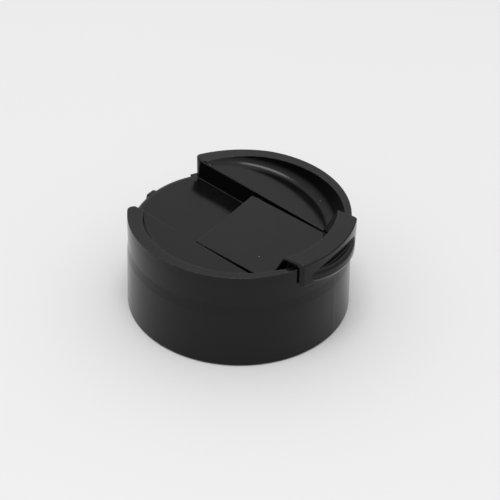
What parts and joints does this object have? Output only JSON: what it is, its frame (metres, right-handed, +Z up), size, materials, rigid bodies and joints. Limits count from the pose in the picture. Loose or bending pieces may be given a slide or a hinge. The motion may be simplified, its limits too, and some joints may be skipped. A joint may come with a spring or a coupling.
{
  "type": "flip top cap",
  "caption": "Screw-on cap for a wide-mouth bottle: a sunk, sloping top with a hinged lid that clips over the rim and seals a drinking hole.",
  "frame": {"origin": "centre of the cap's open mouth, on the plane that the skirt stands on", "axes": "+Z up along the neck's axis, out of the cap's top; +X from the gap in the rim to the lid's clip; the cap is alike on both sides of Y = 0"},
  "size_m": [0.07, 0.0672, 0.0332],
  "materials": {
    "body_plastic": "fine matte mould grain, black",
    "lid_plastic": "fine matte mould grain, black",
    "liner_plastic": "plain satin, black",
    "gasket_silicone": "soft matte silicone, charcoal",
    "seal_silicone": "soft matte silicone, charcoal",
    "pin_steel": "ground stainless"
  },
  "bodies": {
    "cap": {"cap_body": "body_plastic", "inner_liner": "liner_plastic", "neck_gasket": "gasket_silicone", "hinge_pins": "pin_steel"},
    "lid": {"flip_lid": "lid_plastic", "spout_seal": "seal_silicone"}
  },
  "joints": [
    {"name": "lid_hinge", "type": "hinge", "parent": "cap", "child": "lid", "pos_m": [-0.00328, 0, 0.02373], "axis": [0, -1, 0], "range_deg": [0, 164]}
  ]
}
